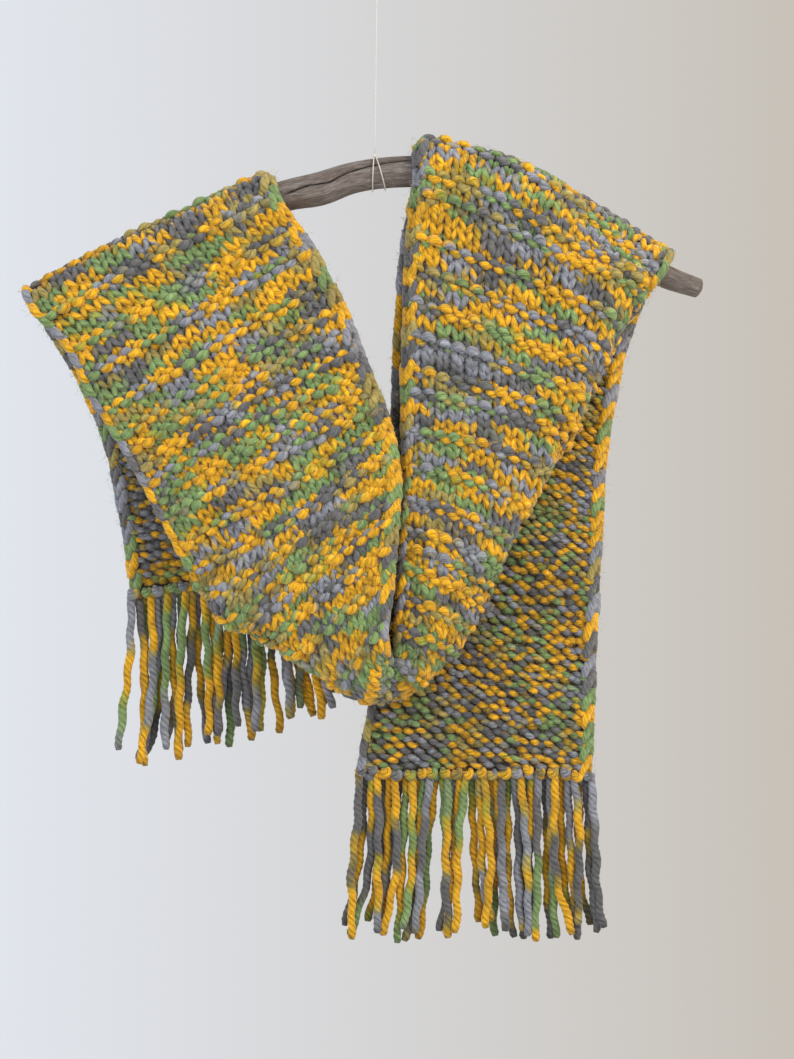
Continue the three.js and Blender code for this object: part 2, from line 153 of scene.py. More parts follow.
def stickDistance(across):
    # Distance along the stick of the points drawn straight below "across".
    across = np.asarray(across, float)
    drawn = place(np.stack([across, 0 * across, 0 * across], -1))
    return np.interp(drawn[..., 0], stickLine[:, 0], stickFine)


def stickFrame(s):
    # Centre, direction along, direction up and radius at distances along the stick.
    pick = lambda table: np.stack([np.interp(s, stickFine, table[:, axis]) for axis in range(3)], -1)
    along = pick(stickTangents)
    up = np.stack([-along[..., 2], 0 * along[..., 0], along[..., 0]], -1)
    return pick(stickLine), along, up, np.interp(s, stickFine, stickRadii)


def shoulderRow(side, degrees, fractions):
    # A row of cloth lying along the stick, turned round it by an angle from the back.
    start, end = stickDistance(side["outer"]), stickDistance(side["inner"])
    centre, along, up, radius = stickFrame(start + (end - start) * fractions)
    turn = math.radians(degrees)
    reach = radius + cloth["clearance"] + cloth["thickness"] / 2
    lift = side["loft"] * mm * fractions ** 2 * math.sin(turn)
    rise = (reach * math.sin(turn) + lift)[:, None]
    return centre + up * rise + np.array([0, 1, 0]) * (reach * math.cos(turn))[:, None]


def tailRow(outer, inner, sag, fractions):
    start, end = place(outer), place(inner)
    third = start + (end - start) * 0.35 - np.array([0, 0, sag * drawing["unit"]])
    return alongCurve(np.array([start, third, end]), fractions)


def frontRow(outer, fold, belly, arch, inner, fractions):
    start, end = place(outer), place(inner)
    turned = place(fold) if fold else start
    rolls = np.linalg.norm(turned - start) > 8 * mm
    middle = end + (turned - end) * (0.55 if rolls else 0.5)
    middle[1] = belly * mm
    middle[2] += arch * drawing["unit"]
    if not rolls:
        return alongCurve(np.array([start, middle, end]), fractions)
    under = turned + (start - turned) * 0.42
    under[1] = outer[2] * mm
    return alongCurve(np.array([start, under, turned, middle, end]), fractions)


def drapeRows(fractions):
    # All the rows of the drape in order, from the left hem to the right hem.
    left = [shoulderRow(shoulders["left"], turn, fractions) for turn in shoulderTurns]
    right = [shoulderRow(shoulders["right"], turn, fractions) for turn in reversed(shoulderTurns)]
    return np.array(
        [tailRow(*row, fractions) for row in leftTail] + left
        + [frontRow(*row, fractions) for row in frontRows] + right
        + [tailRow(*row, fractions) for row in rightTail]
    )


# The cloth's middle surface as a fine grid over distance along and fraction across.
acrossFine = np.linspace(0, 1, 121)
rowPoints = drapeRows(acrossFine)
middleKnots = lengthsAlong(rowPoints[:, 60])
stripLength = float(middleKnots[-1])
alongFine = np.linspace(-0.012, stripLength + 0.012, 1400)
surfacePoints = smooth(middleKnots, rowPoints, alongFine)
surfaceNormals = np.cross(np.gradient(surfacePoints, axis=0), np.gradient(surfacePoints, axis=1))
surfaceNormals /= np.linalg.norm(surfaceNormals, axis=2, keepdims=True)
rowIndex = {
    "leftHem": 0, "leftBack": 4, "leftFront": 8, "leftBelly": 10, "leftLoop": 12, "loopMiddle": 18,
    "rightLoop": 24, "rightFront": 28, "rightBack": 32, "rightHem": 38,
}
waves = {"height": 2.0 * mm, "drift": 2.2 * mm, "length": 0.13}
# How far the inner end of a knitted row runs ahead of its outer end, at the named sections.
rowLead = {
    "leftHem": 0, "leftBack": 0, "leftFront": -14 * mm, "leftBelly": -42 * mm, "leftLoop": -36 * mm,
    "loopMiddle": 0, "rightLoop": 34 * mm, "rightFront": 34 * mm, "rightBack": 10 * mm, "rightHem": 0,
}


def onCloth(s, u, out):
    # Points of the cloth at distance s along, fraction u across and height out on side A,
    # found between the four nearest points of the fine grid; also the normals there. Soft
    # waves lift it by height x sin x sin and shift its rows by drift x sin, less on the stick.
    phase = 2 * np.pi * s / waves["length"]
    free = np.ones(np.shape(s))
    for start, end in (("leftBack", "leftFront"), ("rightFront", "rightBack")):
        middle = (middleKnots[rowIndex[start]] + middleKnots[rowIndex[end]]) / 2
        free = free * (1 - 0.8 * np.exp(-((s - middle) / 0.05) ** 2))
    out = out + waves["height"] * free * np.sin(phase + 3.0 * u) * np.sin(5.2 * u + 0.37 * phase + 1)
    s = s + waves["drift"] * free * np.sin(4.6 * u + 0.61 * phase)
    row = np.clip((s - alongFine[0]) / (alongFine[1] - alongFine[0]), 0, len(alongFine) - 1.001)
    column = u * (len(acrossFine) - 1)
    i = row.astype(int)
    j = np.clip(column.astype(int), 0, len(acrossFine) - 2)
    a, b = (row - i)[..., None], (column - j)[..., None]
    column = lambda grid, k: grid[i, k] * (1 - a) + grid[i + 1, k] * a
    mix = lambda grid: column(grid, j) * (1 - b) + column(grid, j + 1) * b
    normal = mix(surfaceNormals)
    normal /= np.linalg.norm(normal, axis=-1, keepdims=True)
    return mix(surfacePoints) + normal * out[..., None], normal


print("stage: cloth surface", stripLength)


def linearColour(red, green, blue):
    # Screen colour from 0 to 255 as linear light.
    share = np.array([red, green, blue]) / 255
    return np.where(share > 0.04045, ((share + 0.055) / 1.055) ** 2.4, share / 12.92)


# The yarn's dyes, each with its share of the length.
dyes = {
    "amber": {"colour": linearColour(246, 184, 34), "share": 0.38},
    "slate": {"colour": linearColour(114, 113, 114), "share": 0.18},
    "leaf": {"colour": linearColour(138, 166, 104), "share": 0.17},
    "blueGrey": {"colour": linearColour(152, 154, 163), "share": 0.17},
    "olive": {"colour": linearColour(178, 160, 90), "share": 0.1},
}
dyeLimits = np.cumsum([dye["share"] for dye in dyes.values()])
dyeColours = np.array([dye["colour"] for dye in dyes.values()])
dyeRun = {"stitches": 2.2, "rows": 1.1, "blend": 0.14, "next": 0.38, "below": 0.71, "chance": 0.4}


def scatter(a, b, purpose):
    # Repeatable number from 0 to 1 for two whole numbers and a purpose.
    raw = np.sin(a * 12.9898 + b * 78.233 + purpose * 37.719) * 43758.5453
    return raw - np.floor(raw)


def dyeOf(pick):
    # The dye whose share of the yarn holds a number from 0 to 1.
    return dyeColours[np.searchsorted(dyeLimits[:-1], pick)]


def dyeAt(stitch, row, blend=dyeRun["blend"], plain=1.0):
    # Colour of the nearest of many scattered dye runs, multiplied into the second nearest
    # where the two are nearly as far. A run seldom has the dye of the runs beside and below it.
    # "plain" below 1 leaves out the last dye.
    gridX, gridY = np.floor(stitch / dyeRun["stitches"]), np.floor(row / dyeRun["rows"])
    nearest = np.full(stitch.shape, 9.0)
    second = np.full(stitch.shape, 9.0)
    nearestPick = np.zeros(stitch.shape)
    secondPick = np.zeros(stitch.shape)
    for stepX in (-1, 0, 1):
        for stepY in (-1, 0, 1):
            cellX, cellY = gridX + stepX, gridY + stepY
            offX = cellX + 0.5 + 0.8 * (scatter(cellX, cellY, 1) - 0.5) - stitch / dyeRun["stitches"]
            offY = cellY + 0.5 + 0.8 * (scatter(cellX, cellY, 2) - 0.5) - row / dyeRun["rows"]
            away = np.sqrt(offX ** 2 + offY ** 2)
            turned = dyeRun["next"] * cellX + dyeRun["below"] * cellY + dyeRun["chance"] * scatter(cellX, cellY, 3)
            pick = (turned - np.floor(turned)) * plain
            closer = away < nearest
            secondPick = np.where(closer, nearestPick, np.where(away < second, pick, secondPick))
            second = np.where(closer, nearest, np.minimum(away, second))
            nearestPick = np.where(closer, pick, nearestPick)
            nearest = np.where(closer, away, nearest)
    mix = np.clip(0.5 + (second - nearest) / (2 * blend), 0, 1)[..., None]
    mix = mix * mix * (3 - 2 * mix)
    shade = 0.88 + 0.24 * scatter(np.floor(stitch * 1.3), row, 4)[..., None]
    return dyeOf(nearestPick) ** mix * dyeOf(secondPick) ** (1 - mix) * shade


def makeObject(name, vertices, faces):
    mesh = bpy.data.meshes.new(name)
    mesh.from_pydata(vertices.reshape(-1, 3), [], faces.reshape(-1, faces.shape[-1]), shade_flat=False)
    obj = bpy.data.objects.new(name, mesh)
    bpy.context.scene.collection.objects.link(obj)
    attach(obj, "root")
    return obj


def smoothStep(value, low, high):
    t = np.clip((value - low) / (high - low), 0, 1)
    return t * t * (3 - 2 * t)


def addMap(obj, name, corners):
    obj.data.uv_layers.new(name=name).data.foreach_set("uv", corners.astype(np.float32).ravel())


def addColour(obj, label, colours):
    layer = obj.data.color_attributes.new(name=label, type="FLOAT_COLOR", domain="POINT")
    full = np.concatenate([colours.reshape(-1, 3), np.ones((colours.size // 3, 1))], 1)
    layer.data.foreach_set("color", full.astype(np.float32).ravel())


def makeTubes(name, centres, radii, reference, sides=6, cells=1, colours=(), heights=None, hoop=False, plies=None, paintedShadeDepths=(0.5 * mm, 5.6 * mm)):
    # Tubes on centre lines (tube, point, axis): at each point a ring square to the line,
    # with one radius or a radius for each of its sides. Map "yarnMap" counts turns round
    # and metres along; map "OFBake" gives each tube its own strip of a sheet with "cells"
    # strips side by side. "colours" holds the dye of each of the yarn's two plies, with
    # painted shade in the creases, where the yarn is near the cloth's middle: "heights" is
    # how far out the centre line lies, and the painted shade fades out between the two
    # given depths. "plies" grooves the tube: radius less depth x (1 - |sine|) with
    # a number of grooves round it that turn once in a twist.
    count, steps = centres.shape[:2]
    if hoop:
        tangents = np.roll(centres, -1, axis=1) - np.roll(centres, 1, axis=1)
    else:
        tangents = np.gradient(centres, axis=1)
    tangents /= np.linalg.norm(tangents, axis=2, keepdims=True)
    outward = np.cross(tangents, reference)
    outward /= np.linalg.norm(outward, axis=2, keepdims=True)
    upward = np.cross(outward, tangents)
    angle = 2 * np.pi * np.arange(sides) / sides
    ring = outward[:, :, None] * np.cos(angle)[:, None] + upward[:, :, None] * np.sin(angle)[:, None]
    radii = np.asarray(radii, float)
    if radii.ndim < 3:
        radii = np.broadcast_to(radii, (count, steps))[..., None]
    run = np.concatenate([np.zeros((count, 1)), np.cumsum(np.linalg.norm(np.diff(centres, axis=1), axis=2), 1)], 1)
    if plies:
        turned = np.arange(sides) / sides + run[..., None] / plies["twist"]
        radii = radii - plies["depth"] * (1 - np.abs(np.sin(np.pi * plies["count"] * turned)))
    vertices = centres[:, :, None] + ring * radii[..., None]
    spans = steps if hoop else steps - 1
    tube, i, j = np.meshgrid(np.arange(count), np.arange(spans), np.arange(sides), indexing="ij")
    index = lambda point, side: (tube * steps + point % steps) * sides + side % sides
    faces = np.stack([index(i, j), index(i + 1, j), index(i + 1, j + 1), index(i, j + 1)], -1).reshape(-1, 4)
    if hoop:
        run = np.concatenate([run, 2 * run[:, -1:] - run[:, -2:-1]], 1)
    turns = np.stack([j, j, j + 1, j + 1], -1) / sides
    metres = np.stack([run[tube, i], run[tube, i + 1], run[tube, i + 1], run[tube, i]], -1)
    cellRows = math.ceil(count / cells)
    share = np.stack([i, i + 1, i + 1, i], -1) / spans
    bakeU = ((tube % cells)[..., None] + 0.04 + 0.92 * share) / cells
    bakeV = ((tube // cells)[..., None] + 0.06 + 0.88 * turns) / cellRows
    bake = np.stack([bakeU, bakeV], -1).reshape(-1, 2)
    yarn = np.stack([turns, metres], -1).reshape(-1, 2)
    if not hoop:
        fan = np.array([[0, 2 * m - 1, 2 * m, 2 * m + 1] for m in range(1, sides // 2)])
        for end, order, side in ((0, fan, 0.015), (steps - 1, fan[:, ::-1], 0.985)):
            start = (np.arange(count) * steps + end) * sides
            faces = np.concatenate([faces, (start[:, None, None] + order).reshape(-1, 4)])
            corner = np.broadcast_to(order, (count,) + order.shape)
            number = np.arange(count)[:, None, None]
            capU = (number % cells + side + 0.012 * np.cos(angle[corner])) / cells
            capV = (number // cells + 0.5 + 0.3 * np.sin(angle[corner])) / cellRows
            bake = np.concatenate([bake, np.stack([capU, capV], -1).reshape(-1, 2)])
            capYarn = np.stack([corner / sides, np.broadcast_to(run[:, end][:, None, None], corner.shape)], -1)
            yarn = np.concatenate([yarn, capYarn.reshape(-1, 2)])
    obj = makeObject(name, vertices, faces)
    addMap(obj, "OFBake", bake)
    addMap(obj, "yarnMap", yarn)
    # Painted shade: both dyes are darkened where the yarn's surface lies near the cloth's middle, in the creases
    # between the loops.
    paintedCreaseShade = 1.0
    if heights is not None:
        away = np.abs(heights[..., None] + radii * np.sum(ring * reference[:, :, None], -1))
        paintedCreaseShade = smoothStep(away, *paintedShadeDepths)[..., None] * (1 - knit["paintedCreaseShade"]) + knit["paintedCreaseShade"]
    for label, table in zip(("dye", "secondDye"), colours):
        addColour(obj, label, np.repeat(table[:, :, None], sides, axis=2) * paintedCreaseShade)
    return obj


# The crease entries set the painted shade in the creases between loops: its darkest factor, and on the backs the depths
# over which it fades out.
knit = {
    "stitches": 17, "rowPitch": 8.5 * mm, "edge": 0.032, "radius": 3.35 * mm, "loop": 7.5 * mm, "flat": 0.08, "lean": 1.75,
    "relief": 2.6 * mm, "shelf": 0.5, "tilt": 1.9 * mm, "bumpLean": 1.15, "bumpHead": 1.6 * mm, "bumpFoot": 0.2 * mm,
    "paintedCreaseShade": 0.2, "backPace": 1.5, "backPaintedShadeDepths": (1.4 * mm, 6.9 * mm), "backSlant": -1.2 * mm, "backSlack": 1.7,
}
# Where each loop has its points, in degrees from its head, close together round the bends.
loopDegrees = np.array([-180, -163, -144, -108, -72, -36, -17, 0, 17, 36, 72, 108, 144, 163])
rowCount = int(round(stripLength / knit["rowPitch"]))
rowStep = stripLength / rowCount
chance = np.random.default_rng(11)
loose = np.clip(chance.normal(0, 1, (rowCount, knit["stitches"] + 3, 4)), -2, 2)
ridgeAt = np.zeros(rowCount + 1, bool)  # rows joined to the one before by a ridge of bumps
# Rows from one ridge to the next, between the named sections.
ridgeSteps = {("leftBack", "leftBelly"): (3, 4, 4, 5), ("leftBelly", "leftLoop"): (2, 2, 3), ("leftLoop", "rightBack"): (2, 3, 3, 4)}
for (start, end), steps in ridgeSteps.items():
    nextRidge = int(middleKnots[rowIndex[start]] / rowStep)
    while nextRidge < middleKnots[rowIndex[end]] / rowStep:
        ridgeAt[nextRidge] = True
        nextRidge += chance.choice(steps)
leadKnots = middleKnots[list(rowIndex.values())]
leadValues = np.array(list(rowLead.values()))


def knitRows(name, first, last, back):
    # Rows of linked loops, one tube a row. Over one stitch, with the angle from -180 (foot)
    # over 0 (head) to 180 degrees (next foot): across = even run + lean x sin(2 angle),
    # along = loop x (cos(angle) - flat x cos(3 angle)), out = relief x (w + shelf x (1 - w x
    # w)) with w = -cos(2 angle), tilted so that a leg's foot lies before the head below it.
    # A ridge turns the head of one row and the foot of the next to the front, and lifts
    # them. "back" is for the stretches that hang with side B in front, where heads and feet
    # slant: along has backSlant x sin(2 angle) more.
    rows = np.arange(first, last)
    stitches = knit["stitches"]
    turn = np.arange(stitches)[:, None] + loopDegrees / 360 + 0.5
    t = np.append(turn.ravel(), stitches)
    angle = 2 * np.pi * (t - 0.5)
    before = np.floor(t + 0.5).astype(int)
    blend = t + 0.5 - before  # from one stitch's own looseness to the next one's
    blend = (blend * blend * (3 - 2 * blend))[:, None]
    slack = (loose[rows][:, before] * (1 - blend) + loose[rows][:, before + 1] * blend) * (knit["backSlack"] if back else 1)
    foot, head = ridgeAt[rows][:, None] * 1.0, ridgeAt[rows + 1][:, None] * 1.0
    towardsHead = np.clip(0.5 + 0.8 * np.cos(angle), 0, 1)
    bump = foot + (head - foot) * towardsHead
    tip = 0.5 + 0.5 * np.cos(2 * angle)
    lean = knit["lean"] + (knit["bumpLean"] - knit["lean"]) * bump
    across = t + lean / (2 * np.pi) * np.sin(2 * angle) + 0.04 * slack[..., 0]
    u = np.clip(knit["edge"] + (1 - 2 * knit["edge"]) * across / stitches, 0, 1)
    level = (rows[:, None] + 0.5) * rowStep
    s = level + smooth(leadKnots, leadValues, level[:, 0])[:, None] * (u - 0.5)
    reach = np.cos(angle) - knit["flat"] * np.cos(3 * angle)
    s = s + knit["loop"] * reach * (1 + 0.08 * slack[..., 3]) + 0.6 * mm * slack[..., 1]
    if back:
        s = s + knit["backSlant"] * np.sin(2 * angle)
    w = np.cos(2 * angle) * (2 * bump - 1)
    out = knit["relief"] * (w + knit["shelf"] * (1 - w * w)) + 0.65 * mm * slack[..., 2]
    out = out - knit["tilt"] * np.cos(angle) * (1 - tip) * (1 - bump)
    lift = foot * knit["bumpFoot"] * (1 - towardsHead) + head * knit["bumpHead"] * towardsHead
    out = out + tip * lift * (1 + 0.3 * slack[..., 0])
    centres, normals = onCloth(s, u, out)
    radii = knit["radius"] * (0.86 + 0.2 * np.cos(2 * angle) ** 2 + 0.17 * bump * tip) * (1 + 0.09 * slack[..., 2])
    run = np.where(rows[:, None] % 2 == 0, t, t + 0.4) * (knit["backPace"] if back else 1)
    dyeRows = np.broadcast_to(rows[:, None].astype(float), run.shape)
    colours = dyeAt(run, dyeRows), dyeAt(run + 0.6, dyeRows)
    # On the backs the painted crease shade reaches further out, which darkens the tails.
    if back:
        return makeTubes(name, centres, radii, normals, colours=colours, heights=out, paintedShadeDepths=knit["backPaintedShadeDepths"])
    return makeTubes(name, centres, radii, normals, colours=colours, heights=out)


chain = {
    "pitch": 15.5 * mm, "loop": 10.8 * mm, "width": 13 * mm, "lean": 1.5, "slant": 2.4 * mm, "radius": 3.75 * mm,
    "turned": 0.75, "edge": 0.03, "steps": 17,
}


def chainEdge(name, edge, outward, dyeRow):
    # Slipped-stitch edge: one long loop a link. With the angle over most of a turn: along =
    # loop x cos(angle), towards side A = even run + lean x sin(2 angle), outwards = turned x
    # that - slant x cos(angle), so each link starts outside the last. Thick in its legs.
    # On the outer edge the leg on side A lies outside, on the inner edge the other one.
    count = int(stripLength / chain["pitch"])
    pitch = stripLength / count
    angle = np.linspace(-0.86, 0.86, chain["steps"]) * np.pi
    link = np.arange(count)[:, None]
    wobble = lambda purpose: scatter(link, dyeRow, purpose) - 0.5
    s = (link + 0.5) * pitch + chain["loop"] * np.cos(angle) * (1 + 0.2 * wobble(5)) + 2 * mm * wobble(6)
    facing = chain["width"] / (2 * np.pi) * (angle + chain["lean"] * np.sin(2 * angle)) * (1 + 0.2 * wobble(9))
    out = -outward * chain["turned"] * facing - chain["slant"] * np.cos(angle) + 1.6 * mm * wobble(7)
    s = np.clip(s, -2 * mm, stripLength + 2 * mm)
    centres, normals = onCloth(s, edge + outward * out / cloth["width"], facing)
    turn = dyeRun["next"] * link + dyeRun["chance"] * scatter(link, dyeRow, 3) + 0.004 * dyeRow
    pick = turn - np.floor(turn) + 0 * angle
    colour = dyeOf(pick) * (0.95 + 0.2 * wobble(8) + 0 * angle)[..., None]
    radii = chain["radius"] * (0.58 + 0.48 * np.sin(angle) ** 2) * (1 + 0.2 * wobble(8))
    colours = colour, colour
    return makeTubes(name, centres, radii, normals, sides=8, cells=8, colours=colours)


print("stage: knit")
stretches = {
    "left_tail_knit": (0, "leftBack"), "left_shoulder_knit": ("leftBack", "leftFront"),
    "left_front_knit": ("leftFront", "leftLoop"), "loop_bottom_knit": ("leftLoop", "rightLoop"),
    "right_front_knit": ("rightLoop", "rightFront"), "right_shoulder_knit": ("rightFront", "rightBack"),
    "right_tail_upper_knit": ("rightBack", "half"), "right_tail_lower_knit": ("half", rowCount),
}


def rowOf(mark):
    # Knit row at a mark: a number, a named section, or the middle of the right tail.
    if mark == "half":
        return (rowOf("rightBack") + rowCount) // 2
    return mark if isinstance(mark, int) else int(round(middleKnots[rowIndex[mark]] / rowStep))


yarnPieces = [
    knitRows(name, rowOf(start), rowOf(end), "tail" in name) for name, (start, end) in stretches.items()
]
yarnPieces.append(chainEdge("outer_edge_chain", chain["edge"], -1, 400))
yarnPieces.append(chainEdge("inner_edge_chain", 1 - chain["edge"], 1, 500))

# A dark sheet of painted shade behind the stitches, for the shade between the loops: a thin closed shell on the cloth's
# middle surface.
shell = {"rows": 150, "columns": 16, "half": 1.3 * mm, "margin": 1 * mm, "edge": 0.042}
shellU = np.linspace(shell["edge"], 1 - shell["edge"], shell["columns"])
shellU = np.concatenate([shellU, shellU[::-1]])[None]
shellS = np.linspace(shell["margin"], stripLength - shell["margin"], shell["rows"])[:, None]
shellOut = shell["half"] * np.repeat([1.0, -1.0], shell["columns"])[None]
shellPoints, _ = onCloth(shellS + 0 * shellU, shellU + 0 * shellS, shellOut + 0 * shellS)
around = 2 * shell["columns"]
i, j = np.meshgrid(np.arange(shell["rows"] - 1), np.arange(around), indexing="ij")
nextJ = (j + 1) % around
shellFaces = np.stack([i * around + j, i * around + nextJ, (i + 1) * around + nextJ, (i + 1) * around + j], -1)
j = np.arange(shell["columns"] - 1)
capFaces = np.stack([j, around - 1 - j, around - 2 - j, j + 1], -1)
farCap = (capFaces + (shell["rows"] - 1) * around)[:, ::-1]
shadeSheet = makeObject("knit_shade_sheet", shellPoints, np.concatenate([shellFaces.reshape(-1, 4), capFaces, farCap]))

print("stage: fringe")
fringe = {
    "strands": 40, "length": 142 * mm, "radius": 3.9 * mm, "steps": 54, "layer": 4.6 * mm, "wave": 4.2 * mm,
    "clump": 3.6 * mm, "stray": 8 * mm, "kink": 0.9 * mm, "endBend": 12 * mm, "dyeRuns": 6.2, "blend": 0.3, "plain": 0.9,
    "plies": {"count": 3, "twist": -17 * mm, "depth": 0.95 * mm},
}
hitch = {"half": 2.1 * mm, "drop": 3.4 * mm, "depth": 5.6 * mm, "radius": 3.5 * mm, "steps": 9, "raise": 1.2 * mm}


def makeFringe(name, hem, outward, flare, lengthChange, dyeRow):
    # Strands hung under the hem in three layers. Strand: root + wave x sines + clump and
    # bend that grow on the way down.
    strand = np.arange(fringe["strands"])
    rootU = (strand + 0.5) / fringe["strands"]
    roots, _ = onCloth(np.full(rootU.shape, hem - outward * 1.5 * mm), rootU, 0 * rootU)
    rootX, rootY, rootZ = (roots[:, axis, None] for axis in range(3))
    t = np.linspace(0, 1, fringe["steps"])[None]
    pick = lambda purpose: (2 * scatter(strand, purpose, dyeRow) - 1)[:, None]
    length = fringe["length"] * (1 + 0.07 * pick(1)) + lengthChange + 3 * mm
    layer = (strand % 3 - 1)[:, None] * fringe["layer"]
    wave = pick(2) * np.sin(np.pi * t) + 0.65 * pick(3) * np.sin((2.4 + 0.6 * pick(7)) * np.pi * t) * t
    clump = (np.sin(19 * rootU[:, None] + dyeRow) + np.sin(43 * rootU[:, None])) * t ** 1.5
    bend = pick(4) * np.abs(pick(8)) ** 0.7 * t ** 3
    fan = flare * (rootX - (rootX[0] + rootX[-1]) / 2) * t ** 2
    x = rootX + fringe["wave"] * wave + fringe["clump"] * clump + fringe["endBend"] * bend + fan
    x = x + fringe["stray"] * pick(16) * t ** 1.4 + fringe["kink"] * np.sin(28 * t + 9 * pick(18)) * np.minimum(4 * t, 1)
    y = rootY + layer * (0.2 + 0.8 * np.minimum(t / 0.1, 1)) + 1.6 * mm * pick(5) * np.sin(5 * t)
    z = rootZ - length * t
    taper = np.clip((1 - t) / 0.02, 0.5, 1) ** 0.5 * (1 + 0.07 * np.sin(17 * t + 5 * pick(9)))
    level = dyeRow + 5.7 * strand[:, None] + 0 * t
    run = t * fringe["dyeRuns"] + 7 * strand[:, None]
    # Painted shade: darker throughout, more in the layers behind and in the crowd under the hem; also darker at the
    # tips.
    shade = 0.8 - 0.13 * (strand % 3 - 1)[:, None] - 0.1 * np.exp(-t / 0.08) - 0.3 * smoothStep(t, 0.95, 0.99)
    colours = [dyeAt(run + shift, level, fringe["blend"], fringe["plain"]) * shade[..., None] for shift in (0, 0.16)]
    centres = np.stack([x, y, z], -1)
    back = np.broadcast_to(np.array([0, 1.0, 0]), centres.shape)
    strands = makeTubes(
        name, centres, fringe["radius"] * taper, back, sides=12, cells=4, colours=colours, plies=fringe["plies"]
    )

    # Each pair of strands is looped through the hem: a hanging bow in front and one behind.
    pair = np.arange(0, fringe["strands"], 2)
    pickPair = lambda purpose: (2 * scatter(pair, purpose, dyeRow) - 1)[:, None]
    centre, _ = onCloth(np.full(pair.shape, hem - outward * 0.5 * mm), (pair + 1) / fringe["strands"], 0 * pair)
    angle = np.linspace(-1.9, 1.9, hitch["steps"])[None]
    bows = []
    for face in (-1, 1):
        across = centre[:, 0, None] + hitch["half"] * (1 + 0.2 * pickPair(10)) * np.sin(angle) + 1.2 * mm * pickPair(15)
        deep = centre[:, 1, None] + face * hitch["depth"] * (0.5 + 0.5 * np.cos(angle)) * (1 + 0.12 * pickPair(11))
        high = centre[:, 2, None] + hitch["raise"] + (2.2 * pickPair(12) + pickPair(13) * angle) * mm
        high = high - hitch["drop"] * (np.cos(angle) - 0.2) * (1 + 0.15 * pickPair(17))
        bows.append(np.stack([across, deep, high], -1))
    bows = np.concatenate(bows)
    level = dyeRow + 5.7 * pair[:, None] + 0 * angle
    bowColours = dyeAt(0.25 * angle + 7 * pair[:, None] + 2.1, level, fringe["blend"], fringe["plain"])
    bowColours = np.concatenate([bowColours] * 2)
    fullness = hitch["radius"] * (0.8 + 0.25 * np.cos(angle)) * (1 + 0.15 * pickPair(14))
    upward = np.broadcast_to([0, 0, 1.0], bows.shape)
    bowTubes = makeTubes(
        name + "_knots", bows, np.concatenate([fullness] * 2), upward, sides=10, cells=4, colours=(bowColours, bowColours)
    )
    return [strands, bowTubes]


fringePieces = makeFringe("left_fringe_yarn", 0, -1, 0.08, 1 * mm, 900)
fringePieces += makeFringe("right_fringe_yarn", stripLength, 1, 0.14, -2 * mm, 1500)

print("stage: fuzz")
fuzz = {
    "hairs": 34000, "half": 0.14 * mm, "length": (3 * mm, 8 * mm), "root": (3.0 * mm, 5.4 * mm), "rise": (0.1, 0.9),
    "shown": 0.72,
}


def makeFuzz(name):
    # Stray fibres of the wool, each a narrow three-sided spike. Way of a fibre = cos(turn) x
    # along + sin(turn) x across + rise x outwards, made one unit long; tip = root + way x length.
    count = fuzz["hairs"]
    dice = np.random.default_rng(23)
    s, u = dice.uniform(0, stripLength, count), dice.uniform(-0.008, 1.008, count)
    onTail = (s < middleKnots[rowIndex["leftBack"]]) | (s > middleKnots[rowIndex["rightBack"]])
    shown = dice.uniform(0, 1, count) < fuzz["shown"]  # most lie on the side that shows
    face = np.where(onTail == shown, -1, 1)
    high = face * dice.uniform(*fuzz["root"], count)
    root, normal = onCloth(s, u, high)
    ahead, _ = onCloth(s + 1 * mm, u, high)
    along = (ahead - root) / np.linalg.norm(ahead - root, axis=1, keepdims=True)
    outward = normal * face[:, None]
    turned = dice.uniform(0, 2 * np.pi, count)[:, None]
    rise = dice.uniform(*fuzz["rise"], count)[:, None]
    way = along * np.cos(turned) + np.cross(normal, along) * np.sin(turned) + outward * rise
    way /= np.linalg.norm(way, axis=1, keepdims=True)
    first = np.cross(way, outward)
    first /= np.linalg.norm(first, axis=1, keepdims=True)
    second = np.cross(way, first)
    third = 2 * np.pi * np.arange(3) / 3
    ring = first[:, None] * np.cos(third)[:, None] + second[:, None] * np.sin(third)[:, None]
    tip = root + way * dice.uniform(*fuzz["length"], count)[:, None]
    vertices = np.concatenate([root[:, None] + fuzz["half"] * ring, tip[:, None]], 1)
    spike = np.array([[0, 2, 1], [0, 1, 3], [1, 2, 3], [2, 0, 3]])
    obj = makeObject(name, vertices, 4 * np.arange(count)[:, None, None] + spike)
    # One cell of the sheet a fibre, one quarter of the cell a face.
    cells = math.ceil(math.sqrt(count))
    quarter = np.array([[0, 0], [0.5, 0], [0, 0.5], [0.5, 0.5]])[:, None]
    corner = quarter + np.array([[0.06, 0.06], [0.44, 0.06], [0.06, 0.44]])
    cell = np.stack([np.arange(count) % cells, np.arange(count) // cells], -1)
    addMap(obj, "OFBake", (cell[:, None, None] + corner) / cells)
    addMap(obj, "yarnMap", np.broadcast_to(cell[:, None, None] * 0.01 + corner * 0.004, (count, 4, 3, 2)))
    dye = np.repeat(dyeAt(u * knit["stitches"], np.floor(s / rowStep))[:, None], 4, axis=1)
    addColour(obj, "dye", dye)
    addColour(obj, "secondDye", dye)
    return obj


fuzzPiece = makeFuzz("knit_fuzz")

print("stage: stick and thread")
wood = {
    "start": 12 * mm, "sides": 60, "flute": 0.055, "grain": 0.03, "crack": 1.3 * mm, "crackWidth": 1.2 * mm, "crackReach": 6 * mm,
}
